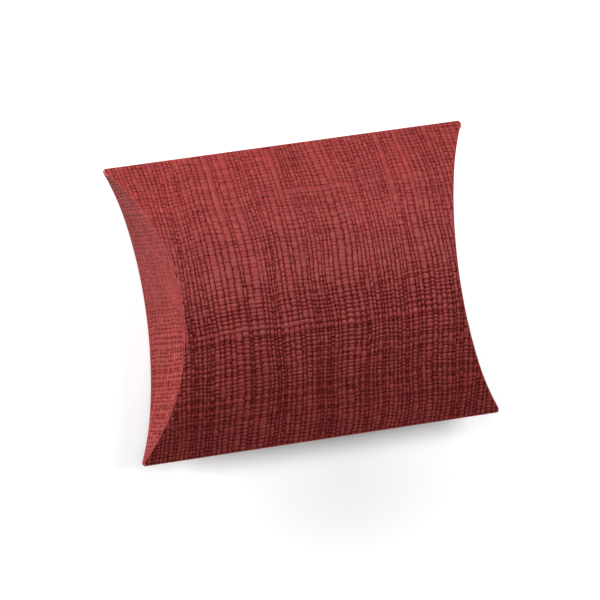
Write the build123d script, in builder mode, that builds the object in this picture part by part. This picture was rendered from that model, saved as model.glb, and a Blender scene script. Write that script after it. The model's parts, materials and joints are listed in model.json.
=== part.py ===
# Pillow-shaped favour box: one die-cut blank of linen-embossed card, scored, folded and glued into a tube
# whose two ends close with lens-shaped flaps along curved creases.
# Millimetres. X runs along the straight folds, Y across the box, Z up. The box lies on its back panel,
# with the origin under the middle of the strip that it rests on.

import os
from math import sqrt

from build123d import *

# Driving dimensions
box_length = 100.0  # corner to corner along the straight folds
box_width = 75.0  # from one straight fold line to the other
panel_bulge = 11.4  # crown of each panel above the plane of the straight folds
board = 0.4  # card thickness
fold_band = 2.0  # width of board bent by each straight fold
fold_round = 0.3  # outside radius of the straight folds
corner_round = 0.7  # rounding of the four corner tips, seen from above
crease_band = 1.2  # height of scored board that each end flap turns on
tip_relief = 1.0  # how far the flap tips stop short of the straight fold lines
outer_flap_short = 0.6  # how far the outer flap's free edge stops short of the back panel's face
inner_flap_rise = 2.3  # how far the inner flap's free edge stands above the plane of the folds
inner_tip_drop = 0.2  # how far the inner flap's tips stay below that plane
glue_flap_width = 10.0  # width of the glue flap inside the seam
glue_end_room = 1.5  # room left between the glue flap's ends and the inner flaps
glue_margin = 0.5  # dry margin around the adhesive
adhesive = 0.1  # thickness of the adhesive film
rest_width = 6.0  # width of the strip that settles flat on a table

# Clearances
crease_gap = 0.08  # between a flap's creased band and the panel end that it swings away from
flap_gap = 0.15  # between the outer flap and the inner flap behind it
tip_side_gap = 0.1  # between the flap tips and the straight folds beside them

# Worked-out sizes
half_length = box_length / 2
half_width = box_width / 2
panel_radius = (half_width**2 + panel_bulge**2) / (2 * panel_bulge)
rest_depth = panel_radius - sqrt(panel_radius**2 - (rest_width / 2) ** 2)
fold_z = panel_bulge - rest_depth  # height of the plane of the straight folds
top_z = fold_z + panel_bulge
front_axis_z = top_z - panel_radius
back_axis_z = fold_z - panel_bulge + panel_radius

# Card folded square along a curve dips as deep at its ends as its panels bulge
end_depth = panel_bulge
end_axis_x = half_length - end_depth + panel_radius
inner_flap_face = board + flap_gap
front_setback = board + crease_gap
back_setback = inner_flap_face + board + crease_gap
glue_setback = inner_flap_face + board + glue_end_room
flap_half_span = half_width - tip_relief
tip_clear_span = flap_half_span + tip_side_gap
panel_half_span = half_width - fold_band
glue_flap_edge = -panel_half_span + glue_flap_width
glue_radius = panel_radius - board - adhesive


def lens(inset):
    """Section across the box: the space between its two bulging panels, in by the inset all round."""
    with BuildSketch(Plane.YZ) as section:
        with Locations((0, front_axis_z)):
            Circle(panel_radius - inset)
        with Locations((0, back_axis_z)):
            Circle(panel_radius - inset, mode=Mode.INTERSECT)
    return section


def board_loop():
    """Section of the folded tube of card, with its two outer fold lines rounded."""
    with BuildSketch(Plane.YZ) as section:
        add(lens(0).sketch_local)
        fillet(section.vertices(), fold_round)
        add(lens(board).sketch_local, mode=Mode.SUBTRACT)
        Rectangle(box_width, 2 * top_z, align=(Align.CENTER, Align.MIN), mode=Mode.INTERSECT)
    return section


def glue_layer():
    """Section of the second layer of card that lies under the front panel at the seam."""
    with BuildSketch(Plane.YZ) as section:
        with Locations((0, front_axis_z)):
            Circle(glue_radius)
            Circle(glue_radius - board, mode=Mode.SUBTRACT)
        add(lens(0).sketch_local, mode=Mode.INTERSECT)
    return section


def across(low, high, bottom=0.0, top=top_z):
    """Window on the section, from one Y to another and from one height to another."""
    with BuildSketch(Plane.YZ) as window:
        with Locations(((low + high) / 2, (bottom + top) / 2)):
            Rectangle(high - low, top - bottom)
    return window


def end_trim(setback, half_span=half_width):
    """Plan of what is cut off both ends, along a curve that lies the setback inside the outer flaps."""
    with BuildSketch(Plane.XY) as plan:
        with Locations((-end_axis_x, 0), (end_axis_x, 0)):
            Circle(panel_radius + setback)
        Rectangle(4 * panel_radius + 2 * box_length, 2 * half_span, mode=Mode.INTERSECT)
    return plan.sketch


def rounded_plan():
    """Plan of the whole box with its corner tips rounded."""
    with BuildSketch(Plane.XY) as plan:
        RectangleRounded(box_length, box_width, corner_round)
    return plan.sketch


def flap_plan(side, face):
    """Plan of one end flap: a bent strip of card whose outer face lies this far behind the box's end."""
    with BuildSketch(Plane.XY) as plan:
        with Locations((side * end_axis_x, 0)):
            Circle(panel_radius + face + board)
            Circle(panel_radius + face, mode=Mode.SUBTRACT)
        with Locations((side * half_length, 0)):
            Rectangle(4 * end_depth, 2 * flap_half_span, mode=Mode.INTERSECT)
    return plan.sketch


def outer_flap_outline():
    """Outline of the outer flap from the front crease down to its free edge."""
    with BuildSketch(Plane.YZ) as outline:
        with Locations((0, front_axis_z)):
            Circle(panel_radius)
        with Locations((0, back_axis_z)):
            Circle(panel_radius - outer_flap_short, mode=Mode.INTERSECT)
    return outline


def inner_flap_outline():
    """Outline of the inner flap from the back crease up to its free edge."""
    tip_z = fold_z - inner_tip_drop
    with BuildSketch(Plane.YZ) as outline:
        with BuildLine():
            ThreePointArc((-half_width, tip_z), (0, fold_z + inner_flap_rise), (half_width, tip_z))
            Polyline((half_width, tip_z), (half_width, 0), (-half_width, 0), (-half_width, tip_z))
        make_face()
        with Locations((0, back_axis_z)):
            Circle(panel_radius, mode=Mode.INTERSECT)
    return outline


os.makedirs("parts", exist_ok=True)

# Front panel: the bulging face on top, whose cut edge closes the seam over the glue flap
with BuildPart() as front_panel:
    with BuildSketch(Plane.YZ):
        add(board_loop().sketch_local)
        add(across(-half_width, panel_half_span, bottom=fold_z).sketch_local, mode=Mode.INTERSECT)
    extrude(amount=half_length, both=True)
    extrude(end_trim(front_setback), amount=2 * top_z, both=True, mode=Mode.SUBTRACT)
    extrude(rounded_plan(), amount=2 * top_z, both=True, mode=Mode.INTERSECT)
front_panel.part.label = "front_panel"
export_step(front_panel.part, "parts/front_panel.step")

# Back panel: the face that the box lies on, flattened along the strip that bears on the table
with BuildPart() as back_panel:
    with BuildSketch(Plane.YZ):
        add(board_loop().sketch_local)
        add(across(-panel_half_span, panel_half_span, top=fold_z).sketch_local, mode=Mode.INTERSECT)
    extrude(amount=half_length, both=True)
    extrude(end_trim(back_setback), amount=2 * top_z, both=True, mode=Mode.SUBTRACT)
back_panel.part.label = "back_panel"
export_step(back_panel.part, "parts/back_panel.step")

# Upper fold: the plain long fold that joins the two panels
with BuildPart() as upper_fold:
    with BuildSketch(Plane.YZ):
        add(board_loop().sketch_local)
        add(across(panel_half_span, half_width).sketch_local, mode=Mode.INTERSECT)
    extrude(amount=half_length, both=True)
    extrude(end_trim(back_setback, tip_clear_span), amount=2 * top_z, both=True, mode=Mode.SUBTRACT)
    extrude(rounded_plan(), amount=2 * top_z, both=True, mode=Mode.INTERSECT)
upper_fold.part.label = "upper_fold"
export_step(upper_fold.part, "parts/upper_fold.step")

# Seam fold: the long fold that turns the back panel's card in under the front panel
with BuildPart() as seam_fold:
    with BuildSketch(Plane.YZ):
        add(board_loop().sketch_local)
        add(across(-half_width, -panel_half_span, top=fold_z).sketch_local, mode=Mode.INTERSECT)
        with BuildSketch(Plane.YZ):
            add(glue_layer().sketch_local)
            add(across(-half_width, -panel_half_span).sketch_local, mode=Mode.INTERSECT)
    extrude(amount=half_length, both=True)
    extrude(end_trim(back_setback, tip_clear_span), amount=2 * top_z, both=True, mode=Mode.SUBTRACT)
    extrude(rounded_plan(), amount=2 * top_z, both=True, mode=Mode.INTERSECT)
seam_fold.part.label = "seam_fold"
export_step(seam_fold.part, "parts/seam_fold.step")

# Glue flap: the strip inside the front panel that the seam is stuck to
with BuildPart() as glue_flap:
    with BuildSketch(Plane.YZ):
        add(glue_layer().sketch_local)
        add(across(-panel_half_span, glue_flap_edge, bottom=fold_z).sketch_local, mode=Mode.INTERSECT)
    extrude(amount=half_length, both=True)
    extrude(end_trim(glue_setback), amount=2 * top_z, both=True, mode=Mode.SUBTRACT)
glue_flap.part.label = "glue_flap"
export_step(glue_flap.part, "parts/glue_flap.step")

# Glue line: the adhesive film between the glue flap and the front panel
with BuildPart() as glue_line:
    with BuildSketch(Plane.YZ):
        with Locations((0, front_axis_z)):
            Circle(glue_radius + adhesive)
            Circle(glue_radius, mode=Mode.SUBTRACT)
        film = across(-panel_half_span + glue_margin, glue_flap_edge - glue_margin, bottom=fold_z)
        add(film.sketch_local, mode=Mode.INTERSECT)
    extrude(amount=half_length, both=True)
    extrude(end_trim(glue_setback + glue_margin), amount=2 * top_z, both=True, mode=Mode.SUBTRACT)
glue_line.part.label = "glue_line"
export_step(glue_line.part, "parts/glue_line.step")

# End flaps: at each end an outer flap hangs from the front crease over a shallower inner flap that stands
# on the back crease. Each turns on its own curved band of scored board.
for end_name, side in (("left", -1), ("right", 1)):
    with BuildPart() as outer_crease:
        extrude(flap_plan(side, 0), amount=2 * top_z, both=True)
        with BuildSketch(Plane.YZ) as band:
            add(outer_flap_outline().sketch_local)
            with Locations((0, front_axis_z)):
                Circle(panel_radius - crease_band, mode=Mode.SUBTRACT)
        extrude(band.sketch, amount=box_length, both=True, mode=Mode.INTERSECT)
    outer_crease.part.label = f"{end_name}_outer_crease"
    export_step(outer_crease.part, f"parts/{end_name}_outer_crease.step")

    with BuildPart() as outer_flap:
        extrude(flap_plan(side, 0), amount=2 * top_z, both=True)
        with BuildSketch(Plane.YZ) as leaf:
            add(outer_flap_outline().sketch_local)
            with Locations((0, front_axis_z)):
                Circle(panel_radius - crease_band, mode=Mode.INTERSECT)
        extrude(leaf.sketch, amount=box_length, both=True, mode=Mode.INTERSECT)
    outer_flap.part.label = f"{end_name}_outer_flap"
    export_step(outer_flap.part, f"parts/{end_name}_outer_flap.step")

    with BuildPart() as inner_crease:
        extrude(flap_plan(side, inner_flap_face), amount=2 * top_z, both=True)
        with BuildSketch(Plane.YZ) as band:
            add(inner_flap_outline().sketch_local)
            with Locations((0, back_axis_z)):
                Circle(panel_radius - crease_band, mode=Mode.SUBTRACT)
        extrude(band.sketch, amount=box_length, both=True, mode=Mode.INTERSECT)
    inner_crease.part.label = f"{end_name}_inner_crease"
    export_step(inner_crease.part, f"parts/{end_name}_inner_crease.step")

    with BuildPart() as inner_flap:
        extrude(flap_plan(side, inner_flap_face), amount=2 * top_z, both=True)
        with BuildSketch(Plane.YZ) as leaf:
            add(inner_flap_outline().sketch_local)
            with Locations((0, back_axis_z)):
                Circle(panel_radius - crease_band, mode=Mode.INTERSECT)
        extrude(leaf.sketch, amount=box_length, both=True, mode=Mode.INTERSECT)
    inner_flap.part.label = f"{end_name}_inner_flap"
    export_step(inner_flap.part, f"parts/{end_name}_inner_flap.step")
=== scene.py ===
# Pillow favour box in bordeaux card with a linen emboss, closed, lying on its back panel.
# The card is drawn flat first, as one blank: u runs along the box and v across it, over the front panel,
# round the upper fold and over the back panel. Each piece is a stretch of that blank bent to its place, so
# the embossed threads run on from panel to flap. Millimetres, turned into metres as each mesh is made.

import json
import math

import bpy
import numpy as np
from mathutils import Matrix, Vector


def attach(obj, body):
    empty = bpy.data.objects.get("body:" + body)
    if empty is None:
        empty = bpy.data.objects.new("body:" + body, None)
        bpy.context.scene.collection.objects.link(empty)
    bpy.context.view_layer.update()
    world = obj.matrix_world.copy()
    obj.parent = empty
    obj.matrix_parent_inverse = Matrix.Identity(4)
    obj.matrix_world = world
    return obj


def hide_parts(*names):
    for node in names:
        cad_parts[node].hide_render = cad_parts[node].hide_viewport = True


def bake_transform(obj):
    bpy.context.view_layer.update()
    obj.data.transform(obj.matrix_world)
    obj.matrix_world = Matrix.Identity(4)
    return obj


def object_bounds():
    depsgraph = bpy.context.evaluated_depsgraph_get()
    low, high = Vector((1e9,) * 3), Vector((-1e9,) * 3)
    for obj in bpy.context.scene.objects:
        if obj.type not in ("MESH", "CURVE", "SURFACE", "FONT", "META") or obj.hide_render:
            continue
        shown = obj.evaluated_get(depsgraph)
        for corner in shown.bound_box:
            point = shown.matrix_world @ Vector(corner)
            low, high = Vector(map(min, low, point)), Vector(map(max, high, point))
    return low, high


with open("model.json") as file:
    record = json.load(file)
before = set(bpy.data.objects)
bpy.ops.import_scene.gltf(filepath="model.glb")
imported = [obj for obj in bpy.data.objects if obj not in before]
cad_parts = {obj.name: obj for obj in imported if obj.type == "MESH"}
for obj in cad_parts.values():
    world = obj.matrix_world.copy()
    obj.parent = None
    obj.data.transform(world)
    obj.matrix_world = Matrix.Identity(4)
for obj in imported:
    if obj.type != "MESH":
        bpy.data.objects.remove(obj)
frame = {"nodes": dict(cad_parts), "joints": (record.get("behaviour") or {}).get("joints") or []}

cad_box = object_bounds()
scene = bpy.context.scene
scene.view_settings.view_transform = "Standard"

MM = 0.001
joints = {joint["name"]: joint for joint in frame["joints"]}

# Sizes of the box, the first three from the frame
half_length = cad_box[1].x / MM
crown_z = cad_box[1].z / MM
bulge = half_length - abs(joints["left_outer_flap_fold"]["pos_m"][0]) / MM
half_width = 37.5  # to the straight fold lines
fold_band = 2.0  # width of card bent by each straight fold
fold_round = 0.3  # outside radius of the straight folds
board = 0.4  # thickness of the card
adhesive = 0.1  # thickness of the glue film in the seam
ridge = 0.8  # width of card rounded over on each side of an end crease
ridge_drop = 0.25  # how far it is rounded over, as a share of that width
tip_round = 0.75  # rounding of the four corner tips, seen from above
tip_flare = 0.7  # how far the card flares out along the end creases towards the tips
flare_from = 24.0  # where that flare starts, out from the middle
outer_flap_short = 0.6  # the outer flap's free edge stops this far above the back crease
inner_flap_back = 0.55  # the inner flap lies this far behind the outer flap's face
inner_flap_rise = 2.3  # the inner flap's free edge above the plane of the folds
inner_tip_drop = 0.2  # the inner flap's tips below that plane
outer_flap_reach = 36.9  # how far the flap tips reach towards the straight folds
inner_flap_reach = 36.4
flap_least = 0.12  # least depth of a flap, at its tips

# Worked-out sizes
fold_z = crown_z - bulge
panel_radius = (half_width**2 + bulge**2) / (2 * bulge)
front_axis_z = crown_z - panel_radius
edge_angle = math.asin(half_width / panel_radius)
half_arc = panel_radius * edge_angle
fold_centre_y = half_width - fold_round / math.sin(edge_angle)
fold_turn = fold_round / math.tan(edge_angle)  # width of card on each side of a fold that is rounded
panel_edge_v = panel_radius * math.asin((half_width - fold_band) / panel_radius)
fold_nose_y = fold_centre_y + fold_round
tip_centre_y = fold_nose_y - tip_round
tip_centre_u = half_length + tip_flare - (
    tip_round + (half_width - tip_centre_y) * math.sin(edge_angle)) / math.cos(edge_angle)
inside_radius = panel_radius - board
inside_v = panel_radius * math.acos((panel_radius - bulge) / inside_radius)
outer_face = 0.9 * board  # a point less deep than this lies on the outer face

# Places on the blank, whose front panel has its middle at v = 0
front_seam_v = -half_arc
upper_fold_v = half_arc
back_middle_v = 2 * half_arc
back_seam_v = 3 * half_arc
blank_u = (-80.0, 80.0)
blank_v = (-46.0, 128.0)
v_span = blank_v[1] - blank_v[0]

# Emboss: warp threads run across the box and weft threads along it, with a groove on each side of a thread
warp_pitch = 1.13
weft_pitch = 0.98
warp_unevenness, weft_unevenness = 0.2, 0.16  # spread of the threads' widths
thread_widths = (0.66, 1.7)  # thinnest and thickest thread, in pitches
warp_groove = 0.185  # half the width of the grooves along the warp
weft_groove = 0.155
emboss_depth = 0.32
own_sway, shared_sway = 0.09, 0.3  # how far a warp groove strays by itself and with those beside it
own_shift, shared_shift = 0.12, 0.26  # how far the weft grooves step at a warp thread, in the same two ways
small_wave = 0.06  # small waves of both kinds of groove
sway_step, shift_step, bite_step = 12.0, 11.0, 5.0  # lengths over which these change
wave_step = 2 * weft_pitch
flap_rows_from, flap_rows_over, flap_rows_straightened = 38.0, 6.0, 0.7  # straighter weft on the flaps
warp_bite_mean, warp_bite_spread, warp_bite_limits = 0.98, 0.26, (0.2, 1.2)  # how deep the grooves bite
weft_bite_mean, weft_bite_spread, weft_bite_limits = 0.66, 0.3, (0.05, 1.0)
deep_bite = 1.3  # times that, by the seam and on the back panel
bite_loss, bite_loss_from, bite_loss_over = 0.66, -4.0, 26.0  # shallower up the front panel
long_thread_bands = ((0.6, 6.0, 9.0), (0.4, 84.0, 12.0))  # weaker weft grooves: how much, middle v, width
pit_depth, pit_reach = 1.3, 2.6 * warp_groove  # the pit where two grooves cross
pillow_across, pillow_along = 0.15, 0.09  # how round the threads are
deepest_sink = 0.12  # how much lower the lowest threads lie

# Slubs, which are thick threads: the place and width of each, and from where to where it runs smooth
warp_slubs = (
    (-22.4, 1.9, 22, 41), (-17.7, 2.2, 20, 40), (-5.1, 1.6, 24, 38), (25.2, 1.7, 20, 41),
    (30.8, 1.4, 22, 40), (6.9, 2.1, 0, 0), (-8.0, 1.9, 0, 0), (-19.6, 1.8, 0, 0))
weft_slubs = ((26.0, 1.6, -4, 13), (-7.2, 1.3, -35, -4), (71.0, 1.8, -20, 9), (96.0, 1.8, 2, 30))
same_thread = 0.01  # nearer than this, two starts of a thread are one
slub_room = 0.75  # least width left to the threads beside a slub
slub_fade = 1.5  # length over which a slub turns smooth
slub_fill = 0.65  # how far a smooth weft slub fills the warp grooves that cross it

# Mesh of the card
band_steps = np.array((0.0, 0.24, 0.56, 1.0))  # mesh lines in the narrow band beside an end, as shares of it
band_room = 1.2  # nearest that a thread's mesh line comes to an end, in bands
row_room = 0.12  # nearest that a weft row comes to a piece's first or last row
shoulder_share = 0.3  # most of a thread's width that one shoulder takes
narrow_thread = 0.9  # a thread under this many pitches has no mesh line along its middle
shift_fade_u, shift_fade_v = 2.5, 2.0  # beside a piece's edges its rows run straight
limit_room = 0.4  # nearest that a row of the inside comes to where the inside stops
nose_room = 0.05  # added to the width of the nose, for a row that lies on its end
no_limit = 1e3
same_place = 1e-6
nose_rows = fold_turn * np.array((-1.0, -0.66, -0.33, 0.0, 0.33, 0.66, 1.0))  # from the fold line
fold_rows = 6  # from a fold's nose to the edge of its panel

# Wear and flattening of the emboss: how far each reaches from a crease, a fold or a cut edge
crease_worn, crease_pressed = 0.15, 0.12
fold_worn = fold_pressed = 0.3
edge_worn, edge_pressed = 0.12, 0.4
flap_pressed = 0.35  # how flat the emboss is all over the flaps
pressed_relief = 0.9  # height of the flattened emboss

thread_rng = np.random.default_rng(1907)


def rise(y):
    """Height of the front panel above the plane of the straight folds."""
    return np.sqrt(panel_radius**2 - y**2) - (panel_radius - bulge)


def ease(t):
    """From 0 to 1 with a soft start and end."""
    t = np.clip(t, 0.0, 1.0)
    return t * t * (3 - 2 * t)


# Linen emboss


def thread_lines(low, high, pitch, unevenness, slubs):
    """Grooves between neighbouring threads of uneven width, with the slubs set in among them."""
    plenty = int(1.5 * (high - low) / pitch)
    widths = np.clip(thread_rng.lognormal(0, unevenness, plenty), *thread_widths)
    lines = low + np.cumsum(widths * pitch)
    lines = lines[lines < high]
    for place, width, _, _ in slubs:
        near, far = place - width / 2, place + width / 2
        lines = lines[(lines < near - slub_room) | (lines > far + slub_room)]
        lines = np.sort(np.append(lines, (near, far)))
    return lines


def uneven(step, shared=0):
    """Slow random change along each warp thread, spread 1 about 0, evened out this many times with its
    neighbours."""
    table = thread_rng.normal(size=(len(warp), int(v_span / step) + 3))
    for _ in range(shared):
        table = (np.roll(table, 1, 0) + 2 * table + np.roll(table, -1, 0)) / 4
    return table / table.std()


def along(table, thread, v, step):
    """Value of such a table for these threads where they pass v."""
    last = table.shape[1] - 1.001  # just short of the last column, so that each has a next one
    t = np.clip((v - blank_v[0]) / step, 0, last)
    k = t.astype(int)
    f = ease(t - k)
    return table[thread, k] * (1 - f) + table[thread, k + 1] * f


warp = thread_lines(*blank_u, warp_pitch, warp_unevenness, warp_slubs)
weft = thread_lines(*blank_v, weft_pitch, weft_unevenness, weft_slubs)
warp_sway = own_sway * uneven(sway_step, shared=1) + shared_sway * uneven(sway_step, shared=40)
warp_wave = small_wave * uneven(weft_pitch)
weft_shift = own_shift * uneven(shift_step) + shared_shift * uneven(shift_step, shared=6)
weft_shift *= 1 - flap_rows_straightened * ease((np.abs(warp) - flap_rows_from) / flap_rows_over)[:, None]
weft_wave = small_wave * uneven(wave_step)
warp_bite = np.clip(warp_bite_mean + warp_bite_spread * uneven(bite_step), *warp_bite_limits)
thread_cells = (len(warp), len(weft) + 1)
weft_bite = weft_bite_mean + weft_bite_spread * thread_rng.normal(size=thread_cells)
weft_bite = np.clip(weft_bite, *weft_bite_limits)
thread_tone = thread_rng.random(size=thread_cells)
thread_sink = thread_rng.random(size=thread_cells)


def warp_line(thread, v):
    """Place of the groove at the start of each warp thread, where it passes v."""
    return warp[thread] + along(warp_sway, thread, v, sway_step) + along(warp_wave, thread, v, weft_pitch)


def weft_place(thread, v):
    """Place of v among the weft grooves, which sit a little differently in each warp thread."""
    return v + along(weft_shift, thread, v, shift_step) + along(weft_wave, thread, v, wave_step)


def smooth_slub(slubs, thread_start, place):
    """From 0 to 1, where a slub runs smooth, with no grooves across it."""
    smooth = np.zeros_like(place)
    for middle, width, start, end in slubs:
        on_it = np.abs(thread_start - (middle - width / 2)) < same_thread
        stretch = on_it * ease((place - start) / slub_fade + 0.5) * ease((end - place) / slub_fade + 0.5)
        smooth = np.maximum(smooth, stretch)
    return smooth


def groove(gap, reach):
    """From 0 at a groove's shoulder to 1 along its middle."""
    return np.clip(1 - np.maximum(gap, 0) / reach, 0, 1)


def linen(u, v):
    """Emboss at a place on the blank: its relief, 0 in a groove to 1 on a thread, and its thread's tone."""
    thread = np.clip(np.searchsorted(warp, u) - 1, 1, len(warp) - 3)
    thread = thread + (u > warp_line(thread + 1, v)).astype(int) - (u < warp_line(thread, v)).astype(int)
    left, right = u - warp_line(thread, v), warp_line(thread + 1, v) - u
    place = weft_place(thread, v)
    row = np.clip(np.searchsorted(weft, place), 1, len(weft) - 1)
    low, high = place - weft[row - 1], weft[row] - place

    plain_across = smooth_slub(warp_slubs, warp[thread], v)
    plain_along = smooth_slub(weft_slubs, weft[row - 1], u)
    long_threads = sum(
        share * np.exp(-(((v - middle) / width) ** 2)) for share, middle, width in long_thread_bands)
    side_bite = along(warp_bite, np.where(left < right, thread, thread + 1), v, bite_step)
    side_bite = side_bite * (1 - slub_fill * plain_along)
    end_bite = weft_bite[thread, np.where(low < high, row - 1, row)]
    end_bite = end_bite * (1 - plain_across) * (1 - long_threads)
    depth = deep_bite - bite_loss * ease((v - bite_loss_from) / bite_loss_over) * (v < back_middle_v)
    side_bite, end_bite = side_bite * depth, end_bite * depth

    side_gap, end_gap = np.minimum(left, right), np.minimum(low, high)
    pit = side_bite * end_bite * np.clip(pit_depth - (side_gap + end_gap) / pit_reach, 0, 1)
    top = np.maximum(1 - side_bite * groove(side_gap, warp_groove), 0)
    top = top * (1 - end_bite * groove(end_gap, weft_groove)) * (1 - np.minimum(pit, 1))
    across = 2 * np.clip(left / (left + right), 0, 1) - 1
    lengthways = 2 * np.clip(low / (low + high), 0, 1) - 1
    pillow = pillow_across * across**2
    pillow = pillow + pillow_along * lengthways**2 * (1 - plain_across) * (1 - long_threads)
    sink = deepest_sink * thread_sink[thread, row]
    return np.clip(top * (1 - pillow - sink), 0, 1), thread_tone[thread, row]


# Card pieces


def warp_mesh_lines(v_row):
    """Mesh lines that follow the warp threads at this v: the groove, its shoulders and the thread's back."""
    threads = np.arange(1, len(warp) - 2)
    v = np.full(len(threads), v_row)
    start, end = warp_line(threads, v), warp_line(threads + 1, v)
    shoulder = np.minimum(warp_groove, (end - start) * shoulder_share)
    places = np.stack((start, start + shoulder, (start + end) / 2, end - shoulder), 1)
    lines = np.ones(places.shape, bool)
    lines[:, 2] = np.diff(warp)[threads] > narrow_thread * warp_pitch
    shift_here = weft_place(threads, v) - v
    shift_left = np.append(shift_here[0], shift_here[:-1])
    shifts = np.stack(((shift_here + shift_left) / 2, shift_here, shift_here, shift_here), 1)
    return places[lines], shifts[lines]


def weft_mesh_rows(low_v, high_v):
    """Mesh rows that follow the weft threads from one edge of a piece to the other."""
    gaps = np.diff(weft)
    shoulder = np.minimum(weft_groove, gaps * shoulder_share)
    rows = np.stack((weft[:-1], weft[:-1] + shoulder, weft[:-1] + gaps / 2, weft[1:] - shoulder), 1)
    rows[:, 2] = np.where(gaps > narrow_thread * weft_pitch, rows[:, 2], low_v - 1)
    rows = rows.ravel()
    rows = rows[(rows > low_v + row_room) & (rows < high_v - row_room)]
    return np.concatenate(((low_v,), rows, (high_v,)))


def strip(below, above):
    """Four-sided faces between two equally long rows of vertices."""
    return [(below[k], below[k + 1], above[k + 1], above[k]) for k in range(len(below) - 1)]


def card_mesh(rows, low_u, high_u, shifted):
    """Outer face of a piece on the blank: (u, v) of its vertices, its faces, and its rows of vertices.
    Its ends run along low_u(v) and high_u(v), with a narrow band beside each for the crease or cut edge."""
    steps = len(band_steps)
    flat_u, flat_v, row_ids, row_lines = [], [], [], []
    count = 0
    for v_row in rows:
        start, end = float(low_u(v_row)), float(high_u(v_row))
        band = min(ridge, (end - start) / 3)
        places, shifts = warp_mesh_lines(v_row)
        inside = np.nonzero((places > start + band_room * band) & (places < end - band_room * band))[0]
        u_row = np.concatenate((start + band * band_steps, places[inside], end - band * band_steps[::-1]))
        fade = ease(min(v_row - rows[0], rows[-1] - v_row) / shift_fade_v) if shifted else 0.0
        to_end = np.minimum(places[inside] - start, end - places[inside])
        kept = shifts[inside] * fade * ease(to_end / shift_fade_u)
        band_v = np.full(steps, v_row)
        flat_u.append(u_row)
        flat_v.append(np.concatenate((band_v, v_row - kept, band_v)))
        row_ids.append(np.arange(count, count + len(u_row)))
        row_lines.append((int(inside[0]), int(inside[-1])) if len(inside) else None)
        count += len(u_row)

    faces = []
    edge = steps - 1
    for below, above, lines_below, lines_above in zip(row_ids, row_ids[1:], row_lines, row_lines[1:]):
        faces += strip(below[:steps], above[:steps])
        first = last = None
        if lines_below and lines_above:
            first = max(lines_below[0], lines_above[0])
            last = min(lines_below[1], lines_above[1])
        if first is None or last < first:
            faces.append((*below[edge:-edge], *above[edge:-edge][::-1]))
        else:
            below_first, above_first = steps + first - lines_below[0], steps + first - lines_above[0]
            below_last, above_last = steps + last - lines_below[0], steps + last - lines_above[0]
            faces.append((*below[edge:below_first + 1], *above[edge:above_first + 1][::-1]))
            faces += strip(below[below_first:below_last + 1], above[above_first:above_last + 1])
            faces.append((*below[below_last:-edge], *above[above_last:-edge][::-1]))
        faces += strip(below[-steps:], above[-steps:])
    return np.concatenate(flat_u), np.concatenate(flat_v), faces, row_ids


def put_in_scene(name, data):
    """A new object with this mesh, lamp or camera."""
    holder = bpy.data.objects.new(name, data)
    scene.collection.objects.link(holder)
    return holder


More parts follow.
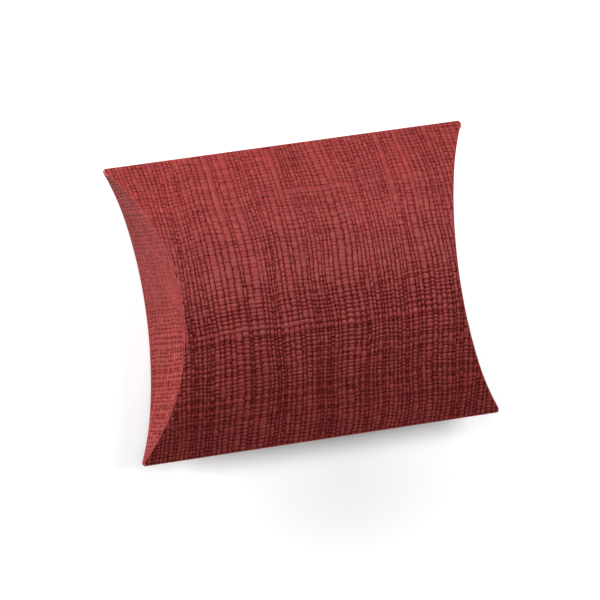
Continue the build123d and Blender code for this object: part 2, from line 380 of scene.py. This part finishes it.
def card_piece(name, rows, low_u, high_u, shape, worn, pressed, shifted=True, mitre=(0.0, 0.0),
               inside_limits=(-no_limit, no_limit), sharp_inside=None, inside_columns=24, inside_step=4):
    """One piece of the blank as a closed sheet of card, embossed outside and plain inside, with cut or
    mitred edges, and the (u, v) of its vertices. shape(u, v, depth) gives the place of a point of the blank
    at a depth under the outer face. Where the inside turns a sharp corner, at v = sharp_inside, one row of
    inside points stands for all those of the nose."""
    u, v, faces, row_ids = card_mesh(rows, low_u, high_u, shifted)
    relief, tone = linen(u, v)
    wear = worn(u, v)
    relief = relief + (pressed_relief - relief) * pressed(u, v)
    outside = shape(u, v, (1 - relief) * emboss_depth)

    lowest, highest = inside_limits[0] + limit_room, inside_limits[1] - limit_room
    last_row = len(rows) - 1
    picked = [k for k in range(0, last_row, inside_step) if k == 0 or lowest < rows[k] < highest] + [last_row]
    if sharp_inside is not None:
        nose = half_arc - inside_v + nose_room
        picked = [k for k in picked if not same_place < abs(rows[k] - sharp_inside) < nose]
    share = np.linspace(0, 1, inside_columns + 1)
    inner_u, inner_v = [], []
    for k in picked:
        start, end = float(low_u(rows[k])), float(high_u(rows[k]))
        room = (end - start) / 3
        start, end = start + min(mitre[0], room), end - min(mitre[1], room)
        inner_u.append(start + (end - start) * share)
        inner_v.append(np.full(inside_columns + 1, np.clip(rows[k], *inside_limits)))
    inner_u, inner_v = np.concatenate(inner_u), np.concatenate(inner_v)
    inside = shape(inner_u, inner_v, np.full_like(inner_u, board))

    inner = len(u) + np.arange(len(inner_u)).reshape(len(picked), inside_columns + 1)
    inner_faces, rim_faces = [], []
    for r in range(len(picked) - 1):
        for k in range(inside_columns):
            inner_faces.append((inner[r, k], inner[r + 1, k], inner[r + 1, k + 1], inner[r, k + 1]))
        start_edge = [row_ids[k][0] for k in range(picked[r], picked[r + 1] + 1)]
        end_edge = [row_ids[k][-1] for k in range(picked[r], picked[r + 1] + 1)]
        rim_faces.append((*start_edge, inner[r + 1, 0], inner[r, 0]))
        rim_faces.append((*end_edge[::-1], inner[r, -1], inner[r + 1, -1]))
    for row, edge, turned in ((row_ids[0], inner[0], True), (row_ids[-1], inner[-1], False)):
        cuts = np.round(np.linspace(0, len(row) - 1, inside_columns + 1)).astype(int)
        for k in range(inside_columns):
            chunk = row[cuts[k]:cuts[k + 1] + 1]
            if turned:
                rim_faces.append((*chunk[::-1], edge[k], edge[k + 1]))
            else:
                rim_faces.append((*chunk, edge[k + 1], edge[k]))

    mesh = bpy.data.meshes.new(name)
    points = np.concatenate((outside, inside)) * MM
    every_face = [tuple(int(i) for i in face) for face in faces + inner_faces + rim_faces]
    mesh.from_pydata(points.tolist(), [], every_face)
    materials = np.repeat((0, 1, 2), (len(faces), len(inner_faces), len(rim_faces)))
    mesh.polygons.foreach_set("material_index", materials.astype(np.int32))
    mesh.polygons.foreach_set("use_smooth", materials < 2)
    plain = np.ones_like(inner_u)
    for label, values in (("relief", np.concatenate((relief, plain))),
                          ("tone", np.concatenate((tone, 0.5 * plain))),
                          ("wear", np.concatenate((wear, 0 * plain)))):
        layer = mesh.attributes.new(label, "FLOAT", "POINT")
        layer.data.foreach_set("value", values.astype(np.float32))
    for material in (linen_card, card_inside, card_edge):
        mesh.materials.append(material)
    mesh.update()
    return put_in_scene(name, mesh), np.concatenate((u, inner_u)), np.concatenate((v, inner_v))


# Materials


def node_at(tree, kind, **values):
    """A new node with these settings."""
    node = tree.nodes.new(kind)
    for key, value in values.items():
        setattr(node, key, value)
    return node


def card_fibre_group():
    """Fibres of uncoated card: a fine grain and slow clouding, each from 0 to 1."""
    group = bpy.data.node_groups.new("card_fibre", "ShaderNodeTree")
    group.interface.new_socket("Fineness", in_out="INPUT", socket_type="NodeSocketFloat")
    group.interface.new_socket("Grain", in_out="OUTPUT", socket_type="NodeSocketFloat")
    group.interface.new_socket("Cloud", in_out="OUTPUT", socket_type="NodeSocketFloat")
    entry, leave = node_at(group, "NodeGroupInput"), node_at(group, "NodeGroupOutput")
    place = node_at(group, "ShaderNodeTexCoord")
    grain = node_at(group, "ShaderNodeTexNoise")
    grain.inputs["Detail"].default_value = 4.0
    grain.inputs["Roughness"].default_value = 0.62
    cloud = node_at(group, "ShaderNodeTexNoise")
    cloud.inputs["Scale"].default_value = 95.0
    cloud.inputs["Detail"].default_value = 3.0
    group.links.new(place.outputs["Object"], grain.inputs["Vector"])
    group.links.new(place.outputs["Object"], cloud.inputs["Vector"])
    group.links.new(entry.outputs["Fineness"], grain.inputs["Scale"])
    group.links.new(grain.outputs["Fac"], leave.inputs["Grain"])
    group.links.new(cloud.outputs["Fac"], leave.inputs["Cloud"])
    return group


card_fibre = card_fibre_group()


def fibrous_material(name, fineness):
    """A new material, its nodes, its shader, and the grain and clouding of its fibres."""
    material = bpy.data.materials.new(name)
    material.use_nodes = True
    tree = material.node_tree
    fibre = node_at(tree, "ShaderNodeGroup", node_tree=card_fibre)
    fibre.inputs["Fineness"].default_value = fineness
    return material, tree, tree.nodes["Principled BSDF"], fibre.outputs["Grain"], fibre.outputs["Cloud"]


def mix_colour(tree, factor, first, second):
    """A mix of two colours, each a colour or an output, by an output."""
    node = node_at(tree, "ShaderNodeMix", data_type="RGBA")
    tree.links.new(factor, node.inputs[0])
    for socket, value in ((node.inputs[6], first), (node.inputs[7], second)):
        if isinstance(value, bpy.types.NodeSocket):
            tree.links.new(value, socket)
        else:
            socket.default_value = (*value, 1.0)
    return node.outputs[2]


def spread(tree, value, low, high, to_low=0.0, to_high=1.0):
    """An output stretched from one range to another, held at its ends."""
    node = node_at(tree, "ShaderNodeMapRange")
    tree.links.new(value, node.inputs["Value"])
    for key, number in zip(("From Min", "From Max", "To Min", "To Max"), (low, high, to_low, to_high)):
        node.inputs[key].default_value = number
    return node.outputs["Result"]


def mesh_layer(tree, label):
    """The value that a mesh carries at its points under this name."""
    return node_at(tree, "ShaderNodeAttribute", attribute_name=label).outputs["Fac"]


def bump(tree, shader, height, strength, distance):
    """Fine unevenness of the surface, from an output, in metres."""
    node = node_at(tree, "ShaderNodeBump")
    node.inputs["Strength"].default_value = strength
    node.inputs["Distance"].default_value = distance
    tree.links.new(height, node.inputs["Height"])
    tree.links.new(node.outputs["Normal"], shader.inputs["Normal"])


bordeaux = (0.186, 0.0098, 0.0172)
# The next colour is the painted shade in the bottoms of the grooves, and also the dark of the fibres' random
# clouding
bordeaux_cloud_and_groove_shade = (0.025, 0.0004, 0.0018)
bordeaux_orange = (0.258, 0.038, 0.029)
bordeaux_worn = (0.45, 0.085, 0.06)
inside_red = (0.30, 0.052, 0.042)
inside_pale = (0.36, 0.075, 0.058)
inside_dark = (0.23, 0.035, 0.03)
edge_dark = (0.26, 0.035, 0.03)
edge_pale = (0.42, 0.095, 0.07)
glue_cream = (0.74, 0.70, 0.60)
glue_tan = (0.58, 0.50, 0.40)
board_fineness, edge_fineness, glue_fineness = 2600.0, 4200.0, 1400.0


def make_linen_card():
    """The embossed outside: satin threads, grooves with painted shade in their colour, each thread end a
    slightly different red.
    """
    material, tree, shader, grain, cloud = fibrous_material("linen_card", board_fineness)
    relief, tone, wear = (mesh_layer(tree, label) for label in ("relief", "tone", "wear"))
    body = mix_colour(tree, spread(tree, tone, 0.3, 1.0, 0.0, 0.6), bordeaux, bordeaux_orange)
    clouded = mix_colour(tree, spread(tree, cloud, 0.3, 0.7, 0.0, 0.3), body, bordeaux_cloud_and_groove_shade)
    # painted shade: the dark red fills the grooves by their depth, standing for the shade that falls in them
    threads = mix_colour(tree, spread(tree, relief, 0.25, 0.78), bordeaux_cloud_and_groove_shade, clouded)
    grained = mix_colour(tree, spread(tree, grain, 0.4, 0.62, 0.0, 0.5), threads, bordeaux_orange)
    worn = mix_colour(tree, spread(tree, wear, 0.2, 1.0, 0.0, 0.5), grained, bordeaux_worn)
    tree.links.new(worn, shader.inputs["Base Color"])
    tree.links.new(spread(tree, relief, 0.35, 0.82, 1.0, 0.66), shader.inputs["Roughness"])
    tree.links.new(spread(tree, relief, 0.42, 0.82, 0.0, 0.36), shader.inputs["Coat Weight"])
    shader.inputs["Specular IOR Level"].default_value = 0.1
    shader.inputs["Specular Tint"].default_value = (1.0, 0.6, 0.35, 1.0)
    shader.inputs["Coat Roughness"].default_value = 0.55
    shader.inputs["Coat IOR"].default_value = 1.6
    bump(tree, shader, grain, strength=1.0, distance=0.00016)
    return material


def make_card_inside():
    """The plain, uncoated inside of the card."""
    material, tree, shader, grain, cloud = fibrous_material("card_inside", board_fineness)
    fibres = mix_colour(tree, spread(tree, grain, 0.3, 0.7), inside_red, inside_pale)
    clouded = mix_colour(tree, spread(tree, cloud, 0.35, 0.7, 0.0, 0.4), fibres, inside_dark)
    tree.links.new(clouded, shader.inputs["Base Color"])
    tree.links.new(spread(tree, grain, 0.3, 0.7, 0.76, 0.9), shader.inputs["Roughness"])
    bump(tree, shader, grain, strength=0.4, distance=0.00006)
    return material


def make_card_edge():
    """The cut or creased edge, where the fibres of the core show."""
    material, tree, shader, grain, _ = fibrous_material("card_edge", edge_fineness)
    fibres = mix_colour(tree, spread(tree, grain, 0.3, 0.7), edge_dark, edge_pale)
    tree.links.new(fibres, shader.inputs["Base Color"])
    tree.links.new(spread(tree, grain, 0.3, 0.7, 0.75, 0.95), shader.inputs["Roughness"])
    bump(tree, shader, grain, strength=0.5, distance=0.00005)
    return material


def make_dried_glue():
    """The film of white glue, dried cloudy between the two layers of card."""
    material, tree, shader, grain, cloud = fibrous_material("dried_glue", glue_fineness)
    film = mix_colour(tree, spread(tree, cloud, 0.3, 0.7), glue_cream, glue_tan)
    tree.links.new(film, shader.inputs["Base Color"])
    tree.links.new(spread(tree, grain, 0.3, 0.7, 0.32, 0.55), shader.inputs["Roughness"])
    bump(tree, shader, grain, strength=0.2, distance=0.00004)
    return material


linen_card = make_linen_card()
card_inside = make_card_inside()
card_edge = make_card_edge()
dried_glue = make_dried_glue()


# Shapes of the pieces


def front_angle(v):
    """Angle round the front panel, from its crown."""
    return v / panel_radius


def back_angle(v):
    """Angle round the back panel, from the strip that it rests on."""
    return (back_middle_v - v) / panel_radius


def round_fold(v_from_fold, side, depth):
    """(y, z) on the rounded nose of a straight fold, for a distance past the fold line on the blank."""
    share = np.clip(v_from_fold / fold_turn, -1, 1)
    angle = math.pi / 2 + share * (math.pi / 2 - edge_angle)
    reach = fold_round - np.minimum(depth, fold_round)
    return side * (fold_centre_y + reach * np.sin(angle)), fold_z + reach * np.cos(angle)


def crease_end(angle):
    """Half the length out to an end crease, at this angle round a panel, with the corner tips rounded."""
    angle = np.minimum(np.abs(angle), edge_angle)
    y = panel_radius * np.sin(angle)
    flare = np.clip((y - flare_from) / (tip_centre_y - flare_from), 0, 1) ** 2
    crease = half_length - rise(y) + tip_flare * flare
    nose_y = round_fold(panel_radius * angle - half_arc, 1, 0.0)[0]
    past_centre = np.where(panel_radius * angle > half_arc - fold_turn, nose_y, y) - tip_centre_y
    tip = tip_centre_u + np.sqrt(np.maximum(tip_round**2 - past_centre**2, 0))
    on_tip = past_centre > -tip_round * math.sin(edge_angle)
    return np.where(on_tip, np.minimum(tip, crease), crease)


def front_end(v):
    """Half the length of the front panel at v, out to its end creases."""
    return crease_end(front_angle(v))


def back_end(v):
    """The same for the back panel, whose creases lie behind the outer flaps."""
    return crease_end(back_angle(v)) - inner_flap_back


def rounded_over(u, end, depth, height):
    """How far the outer face sinks and draws in over an end crease, less where the box is low."""
    near_crease = np.clip(1 - np.abs(np.abs(u) - end) / ridge, 0, 1) ** 2
    over = ridge_drop * ridge * near_crease * (depth < outer_face)
    return np.minimum(over, 0.5 * np.maximum(height, 0))


def put_on_nose(points, on_nose, v_from_fold, side, depth):
    """Moves the points of the outer face that lie on a straight fold's nose to it."""
    on_nose = on_nose & (depth < outer_face)
    nose_y, nose_z = round_fold(v_from_fold, side, depth)
    points[:, 1] = np.where(on_nose, nose_y, points[:, 1])
    points[:, 2] = np.where(on_nose, nose_z, points[:, 2])
    return points


def front_shape(u, v, depth):
    """The front panel, out to its nose at the seam."""
    angle = front_angle(v)
    y = (panel_radius - depth) * np.sin(angle)
    z = front_axis_z + (panel_radius - depth) * np.cos(angle)
    points = np.stack((u, y, z), 1)
    put_on_nose(points, v < front_seam_v + fold_turn, front_seam_v - v, -1, depth)
    over = rounded_over(u, front_end(v), depth, points[:, 2] - fold_z)
    points[:, 0] -= np.sign(u) * over
    points[:, 2] -= over
    return points


def back_shape(u, v, depth):
    """The back panel, flat where it rests."""
    angle = back_angle(v)
    y = (panel_radius - depth) * np.sin(angle)
    z = np.maximum(fold_z - rise(panel_radius * np.sin(angle)), 0) + depth * np.cos(angle)
    over = rounded_over(u, back_end(v), depth, fold_z - z)
    return np.stack((u - np.sign(u) * over, y, z + over), 1)


def upper_fold_shape(u, v, depth):
    """The edges of both panels and the nose between them."""
    limit = np.where(depth < outer_face, half_arc, inside_v)
    front = front_shape(u, np.minimum(v, limit), depth)
    back = back_shape(u, np.maximum(v, back_middle_v - limit), depth)
    points = np.where((v < upper_fold_v)[:, None], front, back)
    return put_on_nose(points, np.abs(v - upper_fold_v) < fold_turn, v - upper_fold_v, 1, depth)


def upper_fold_end(v):
    """Half the length of the upper fold, from the front crease over the corner tip to the back crease."""
    inset = inner_flap_back * ease((v - upper_fold_v - fold_turn) / (half_arc - panel_edge_v - fold_turn))
    on_front = front_end(np.minimum(v, upper_fold_v))
    return np.where(v < upper_fold_v, on_front, crease_end(back_angle(v)) - inset)


def seam_fold_shape(u, v, depth):
    """The back panel's edge at the seam and its half of the nose."""
    points = back_shape(u, v, depth)
    return put_on_nose(points, v > back_seam_v - fold_turn, back_seam_v - v, -1, depth)


def seam_fold_end(v):
    """Half the length of the seam fold, from the back panel's edge to the fold line."""
    inset = inner_flap_back * ease((back_seam_v - fold_turn - v) / (half_arc - panel_edge_v - fold_turn))
    return crease_end(back_angle(v)) - inset


def flap_shape(side, crease, angle_of, hangs):
    """An end flap, square to the panel that it turns on. hangs is 1 for a flap that hangs from the front
    crease and -1 for one that stands on the back crease."""
    def shape(u, v, depth):
        angle = angle_of(v)
        height = rise(panel_radius * np.sin(angle))
        past = np.abs(u) - crease(v)
        over = rounded_over(u, crease(v), depth, height)
        x = side * (crease(v) - depth * np.cos(angle) - over)
        y = panel_radius * np.sin(angle) + depth * np.sin(angle)
        return np.stack((x, y, fold_z + hangs * height - hangs * past - hangs * over), 1)
    return shape


def outer_flap_end(v):
    """How far along the blank the outer flap's free edge lies."""
    height = rise(panel_radius * np.sin(front_angle(v)))
    return front_end(v) + np.maximum(2 * height - outer_flap_short, flap_least)


def inner_flap_end(v):
    """The same for the inner flap, whose free edge is an arc."""
    y = panel_radius * np.sin(back_angle(v))
    crest = inner_flap_rise + inner_tip_drop
    crest_radius = (half_width**2 + crest**2) / (2 * crest)
    edge = np.sqrt(crest_radius**2 - y**2) - (crest_radius - crest) - inner_tip_drop
    return back_end(v) + np.maximum(rise(y) + edge, flap_least)


def minus(end):
    """The same end on the left."""
    return lambda v: -end(v)


# Where the card is worn or its emboss is flattened, from 0 to 1


def beside_end(end, width):
    """Within about this width of an end crease or a flap's free edge."""
    def nearness(u, v):
        return np.exp(-(((np.abs(u) - end(v)) / width) ** 2))
    return nearness


def beside_fold(fold_v, width):
    """The same beside a straight fold."""
    def nearness(u, v):
        return np.exp(-(((v - fold_v) / width) ** 2))
    return nearness


def all_over(amount):
    """The same amount everywhere on a piece."""
    def nearness(u, v):
        return np.full_like(u, amount)
    return nearness


def any_of(*effects):
    """The strongest of several."""
    def nearness(u, v):
        return np.max([effect(u, v) for effect in effects], axis=0)
    return nearness


# Pieces


def front_panel():
    """The bulging face on top, with its half of the nose at the seam."""
    body_rows = weft_mesh_rows(front_seam_v + fold_turn, panel_edge_v)
    rows = np.concatenate((front_seam_v + fold_turn + nose_rows[:3], body_rows))
    piece = card_piece(
        "front_panel_linen", rows, minus(front_end), front_end, front_shape,
        worn=any_of(beside_end(front_end, crease_worn), beside_fold(front_seam_v, fold_worn)),
        pressed=any_of(beside_end(front_end, crease_pressed), beside_fold(front_seam_v, fold_pressed)),
        mitre=(board, board), inside_limits=(-inside_v, no_limit))[0]
    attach(piece, "shell")
    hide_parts("front_panel")


def back_panel():
    """The face that the box lies on."""
    rows = weft_mesh_rows(back_middle_v - panel_edge_v, back_middle_v + panel_edge_v)
    piece = card_piece(
        "back_panel_linen", rows, minus(back_end), back_end, back_shape,
        worn=beside_end(back_end, crease_worn), pressed=beside_end(back_end, crease_pressed),
        mitre=(board, board))[0]
    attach(piece, "shell")
    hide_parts("back_panel")


def upper_fold():
    """The plain long fold that joins the two panels."""
    side = np.linspace(panel_edge_v, upper_fold_v - fold_turn, fold_rows)[:-1]
    rows = np.concatenate((side, upper_fold_v + nose_rows, back_middle_v - side[::-1]))
    piece = card_piece(
        "upper_fold_linen", rows, minus(upper_fold_end), upper_fold_end, upper_fold_shape,
        worn=beside_fold(upper_fold_v, fold_worn), pressed=beside_fold(upper_fold_v, fold_pressed),
        shifted=False, sharp_inside=upper_fold_v, inside_step=1)[0]
    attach(piece, "shell")
    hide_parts("upper_fold")


def seam_fold():
    """The long fold that turns the back panel's card in under the front panel."""
    side = np.linspace(back_middle_v + panel_edge_v, back_seam_v - fold_turn, fold_rows)[:-1]
    rows = np.concatenate((side, back_seam_v + nose_rows[:4]))
    piece = card_piece(
        "seam_fold_linen", rows, minus(seam_fold_end), seam_fold_end, seam_fold_shape,
        worn=beside_fold(back_seam_v, fold_worn), pressed=beside_fold(back_seam_v, fold_pressed),
        shifted=False, inside_limits=(-no_limit, back_middle_v + inside_v), inside_step=1)[0]
    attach(piece, "shell")
    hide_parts("seam_fold")


def seam_turned_in():
    """The layer that the seam fold turns in under the front panel, up to the glue flap."""
    short_of_fold, thin_edge = 1.0, 0.1  # where the layer stops before the fold line, and its thickness there
    steps = 24  # along the box
    glue_radius = inside_radius - adhesive
    sloped_board = board / math.cos(edge_angle)
    y = np.linspace(half_width - fold_band, half_width - short_of_fold, 5)
    top = front_axis_z + np.sqrt(glue_radius**2 - y**2)
    under = front_axis_z + np.sqrt((glue_radius - board) ** 2 - y**2)
    back_face = fold_z - rise(y) + sloped_board
    under = np.where(y < y[-1], np.maximum(under, back_face), np.minimum(top - thin_edge, back_face))
    end = crease_end(np.arcsin(y / panel_radius)) - inner_flap_back - sloped_board
    share = np.linspace(-1, 1, steps + 1)[:, None]
    outline_y, outline_z = np.append(-y, -y[::-1]), np.append(top, under[::-1])
    x = share * np.append(end, end[::-1])
    points = np.stack((x, np.broadcast_to(outline_y, x.shape), np.broadcast_to(outline_z, x.shape)), 2)
    round_it = len(outline_y)
    faces = [tuple(range(round_it))[::-1], tuple(steps * round_it + k for k in range(round_it))]
    for r in range(steps):
        for k in range(round_it):
            a, b = r * round_it + k, r * round_it + (k + 1) % round_it
            faces.append((a, b, b + round_it, a + round_it))
    mesh = bpy.data.meshes.new("seam_turned_in_card")
    mesh.from_pydata((points.reshape(-1, 3) * MM).tolist(), [], faces)
    mesh.materials.append(card_inside)
    piece = put_in_scene("seam_turned_in_card", mesh)
    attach(piece, "shell")
    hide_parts("seam_fold")


def crease_turn(u, v, crease, angle_of):
    """How hollow a flap's crease is and how far each point lies past it. A flap on a curved crease bends as
    it opens, so that it stays joined to its panel, but nothing is turned here: the two are worked out and not
    used."""
    least_hollow = 0.2
    hollow = bulge - rise(panel_radius * np.sin(angle_of(v))) + least_hollow
    past = np.maximum(np.abs(u) - crease(v), 0)


def end_flap(end_name, side, layer, reach, crease, free_edge, angle_of, middle_v, hangs):
    """One end flap, from its crease to its free edge. hangs is as in flap_shape."""
    span = panel_radius * math.asin(reach / panel_radius)
    rows = weft_mesh_rows(middle_v - span, middle_v + span)
    if side < 0:
        low, high, mitre = minus(free_edge), minus(crease), (0.0, board)
    else:
        low, high, mitre = crease, free_edge, (board, 0.0)
    piece, u, v = card_piece(
        f"{end_name}_{layer}_flap_linen", rows, low, high, flap_shape(side, crease, angle_of, hangs),
        worn=any_of(beside_end(crease, crease_worn), beside_end(free_edge, edge_worn)),
        pressed=any_of(beside_end(crease, crease_pressed), beside_end(free_edge, edge_pressed),
                       all_over(flap_pressed)),
        mitre=mitre, inside_columns=8)
    body = f"{end_name}_{layer}"
    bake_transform(piece)
    crease_turn(u, v, crease, angle_of)
    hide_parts(f"{body}_flap", f"{body}_crease")


front_panel()
back_panel()
upper_fold()
seam_fold()
seam_turned_in()
for end_name, side in (("left", -1), ("right", 1)):
    end_flap(end_name, side, "outer", outer_flap_reach, front_end, outer_flap_end, front_angle,
             middle_v=0.0, hangs=1)
    end_flap(end_name, side, "inner", inner_flap_reach, back_end, inner_flap_end, back_angle,
             middle_v=back_middle_v, hangs=-1)

for node, material in (("glue_flap", card_inside), ("glue_line", dried_glue)):
    slots = frame["nodes"][node].data.materials
    slots.clear()
    slots.append(material)


# Floor, light and camera, in metres


def seen_directly(tree):
    """1 for the camera and for what gloss and glass show, else 0."""
    path = node_at(tree, "ShaderNodeLightPath")
    either = node_at(tree, "ShaderNodeMath", operation="MAXIMUM")
    seen = node_at(tree, "ShaderNodeMath", operation="MAXIMUM")
    tree.links.new(path.outputs["Is Camera Ray"], either.inputs[0])
    tree.links.new(path.outputs["Is Glossy Ray"], either.inputs[1])
    tree.links.new(either.outputs[0], seen.inputs[0])
    tree.links.new(path.outputs["Is Transmission Ray"], seen.inputs[1])
    return seen.outputs[0]


def white_floor():
    """A pale floor that is seen as white, with its glow weaker round the box's shadow: a painted shadow laid
    over the real one, darkest at its middle.
    """
    half = 4.0
    paper_grey = (0.67, 0.67, 0.67, 1)
    # middle of the painted shadow, where the floor's glow is weakest
    painted_shadow_middle = (0.012, -0.048, 0.0)
    white_from, least_glow = 0.2, 0.12  # how far off the glow is full, and its strength in the middle
    mesh = bpy.data.meshes.new("floor")
    corners = [(-half, -half, 0), (half, -half, 0), (half, half, 0), (-half, half, 0)]
    mesh.from_pydata(corners, [], [(0, 1, 2, 3)])
    floor = put_in_scene("floor", mesh)
    material = bpy.data.materials.new("white_floor")
    material.use_nodes = True
    tree = material.node_tree
    tree.nodes.remove(tree.nodes["Principled BSDF"])
    paper = node_at(tree, "ShaderNodeBsdfDiffuse")
    paper.inputs["Color"].default_value = paper_grey
    glow = node_at(tree, "ShaderNodeEmission")
    place = node_at(tree, "ShaderNodeTexCoord")
    from_painted_shadow = node_at(tree, "ShaderNodeVectorMath", operation="DISTANCE")
    from_painted_shadow.inputs[1].default_value = painted_shadow_middle
    level = node_at(tree, "ShaderNodeMath", operation="MULTIPLY")
    both = node_at(tree, "ShaderNodeAddShader")
    tree.links.new(place.outputs["Object"], from_painted_shadow.inputs[0])
    # painted shadow: the glow grows from its least at that middle to full white further off
    glow_less_at_painted_shadow = spread(tree, from_painted_shadow.outputs["Value"], 0.0, white_from, least_glow, 1.0)
    tree.links.new(glow_less_at_painted_shadow, level.inputs[0])
    tree.links.new(seen_directly(tree), level.inputs[1])
    tree.links.new(level.outputs[0], glow.inputs["Strength"])
    tree.links.new(paper.outputs[0], both.inputs[0])
    tree.links.new(glow.outputs[0], both.inputs[1])
    tree.links.new(both.outputs[0], tree.nodes["Material Output"].inputs["Surface"])
    mesh.materials.append(material)


def soft_box(name, azimuth, elevation, size, power):
    """A square soft box that faces the box from this side, at this height above the floor, in degrees."""
    distance = 0.8
    lamp = bpy.data.lights.new(name, "AREA")
    lamp.shape = "SQUARE"
    lamp.size = size
    lamp.energy = power
    turn, climb = math.radians(azimuth), math.radians(elevation)
    towards = Vector((math.cos(climb) * math.cos(turn), math.cos(climb) * math.sin(turn), math.sin(climb)))
    holder = put_in_scene(name, lamp)
    holder.location = towards * distance
    holder.rotation_euler = towards.to_track_quat("Z", "Y").to_euler()
    holder.visible_camera = False


def studio_surround():
    """A faint even light from all round."""
    world = bpy.data.worlds.new("studio")
    scene.world = world
    world.use_nodes = True
    background = world.node_tree.nodes["Background"]
    background.inputs["Color"].default_value = (1, 1, 1, 1)
    background.inputs["Strength"].default_value = 0.05


def photo_camera():
    """The photograph's view: a long lens over the front panel, from the left end, slightly rolled."""
    right = Vector((0.89568, -0.13239, 0.42453))
    up = Vector((0.13030, 0.99089, 0.03409))
    back = Vector((-0.42517, 0.02478, 0.90477))
    distance = 2.22
    sensor = 36.0
    frame_pixels, box_pixels = 600, 399.6  # widths of the picture and of the box's length in it
    off_right, off_up = 2.9, 8.1  # how far the box's middle lies off the picture's, in pixels
    millimetres_per_pixel = 2 * half_length / box_pixels
    aim = Vector((0, 0, fold_z * MM)) - (off_right * right + off_up * up) * millimetres_per_pixel * MM
    camera = bpy.data.cameras.new("photo_camera")
    camera.sensor_width = sensor
    camera.lens = sensor * distance / (frame_pixels * millimetres_per_pixel * MM)
    camera.clip_start, camera.clip_end = 0.1, 20.0
    holder = put_in_scene("photo_camera", camera)
    turned = Matrix((right, up, back)).transposed().to_4x4()
    holder.matrix_world = Matrix.Translation(aim + back * distance) @ turned
    scene.camera = holder


white_floor()
soft_box("left_light", azimuth=137, elevation=11, size=0.3, power=11.7)
soft_box("upper_light", azimuth=165, elevation=60, size=0.5, power=3.0)
soft_box("right_light", azimuth=18, elevation=57, size=0.42, power=6.0)
studio_surround()
photo_camera()
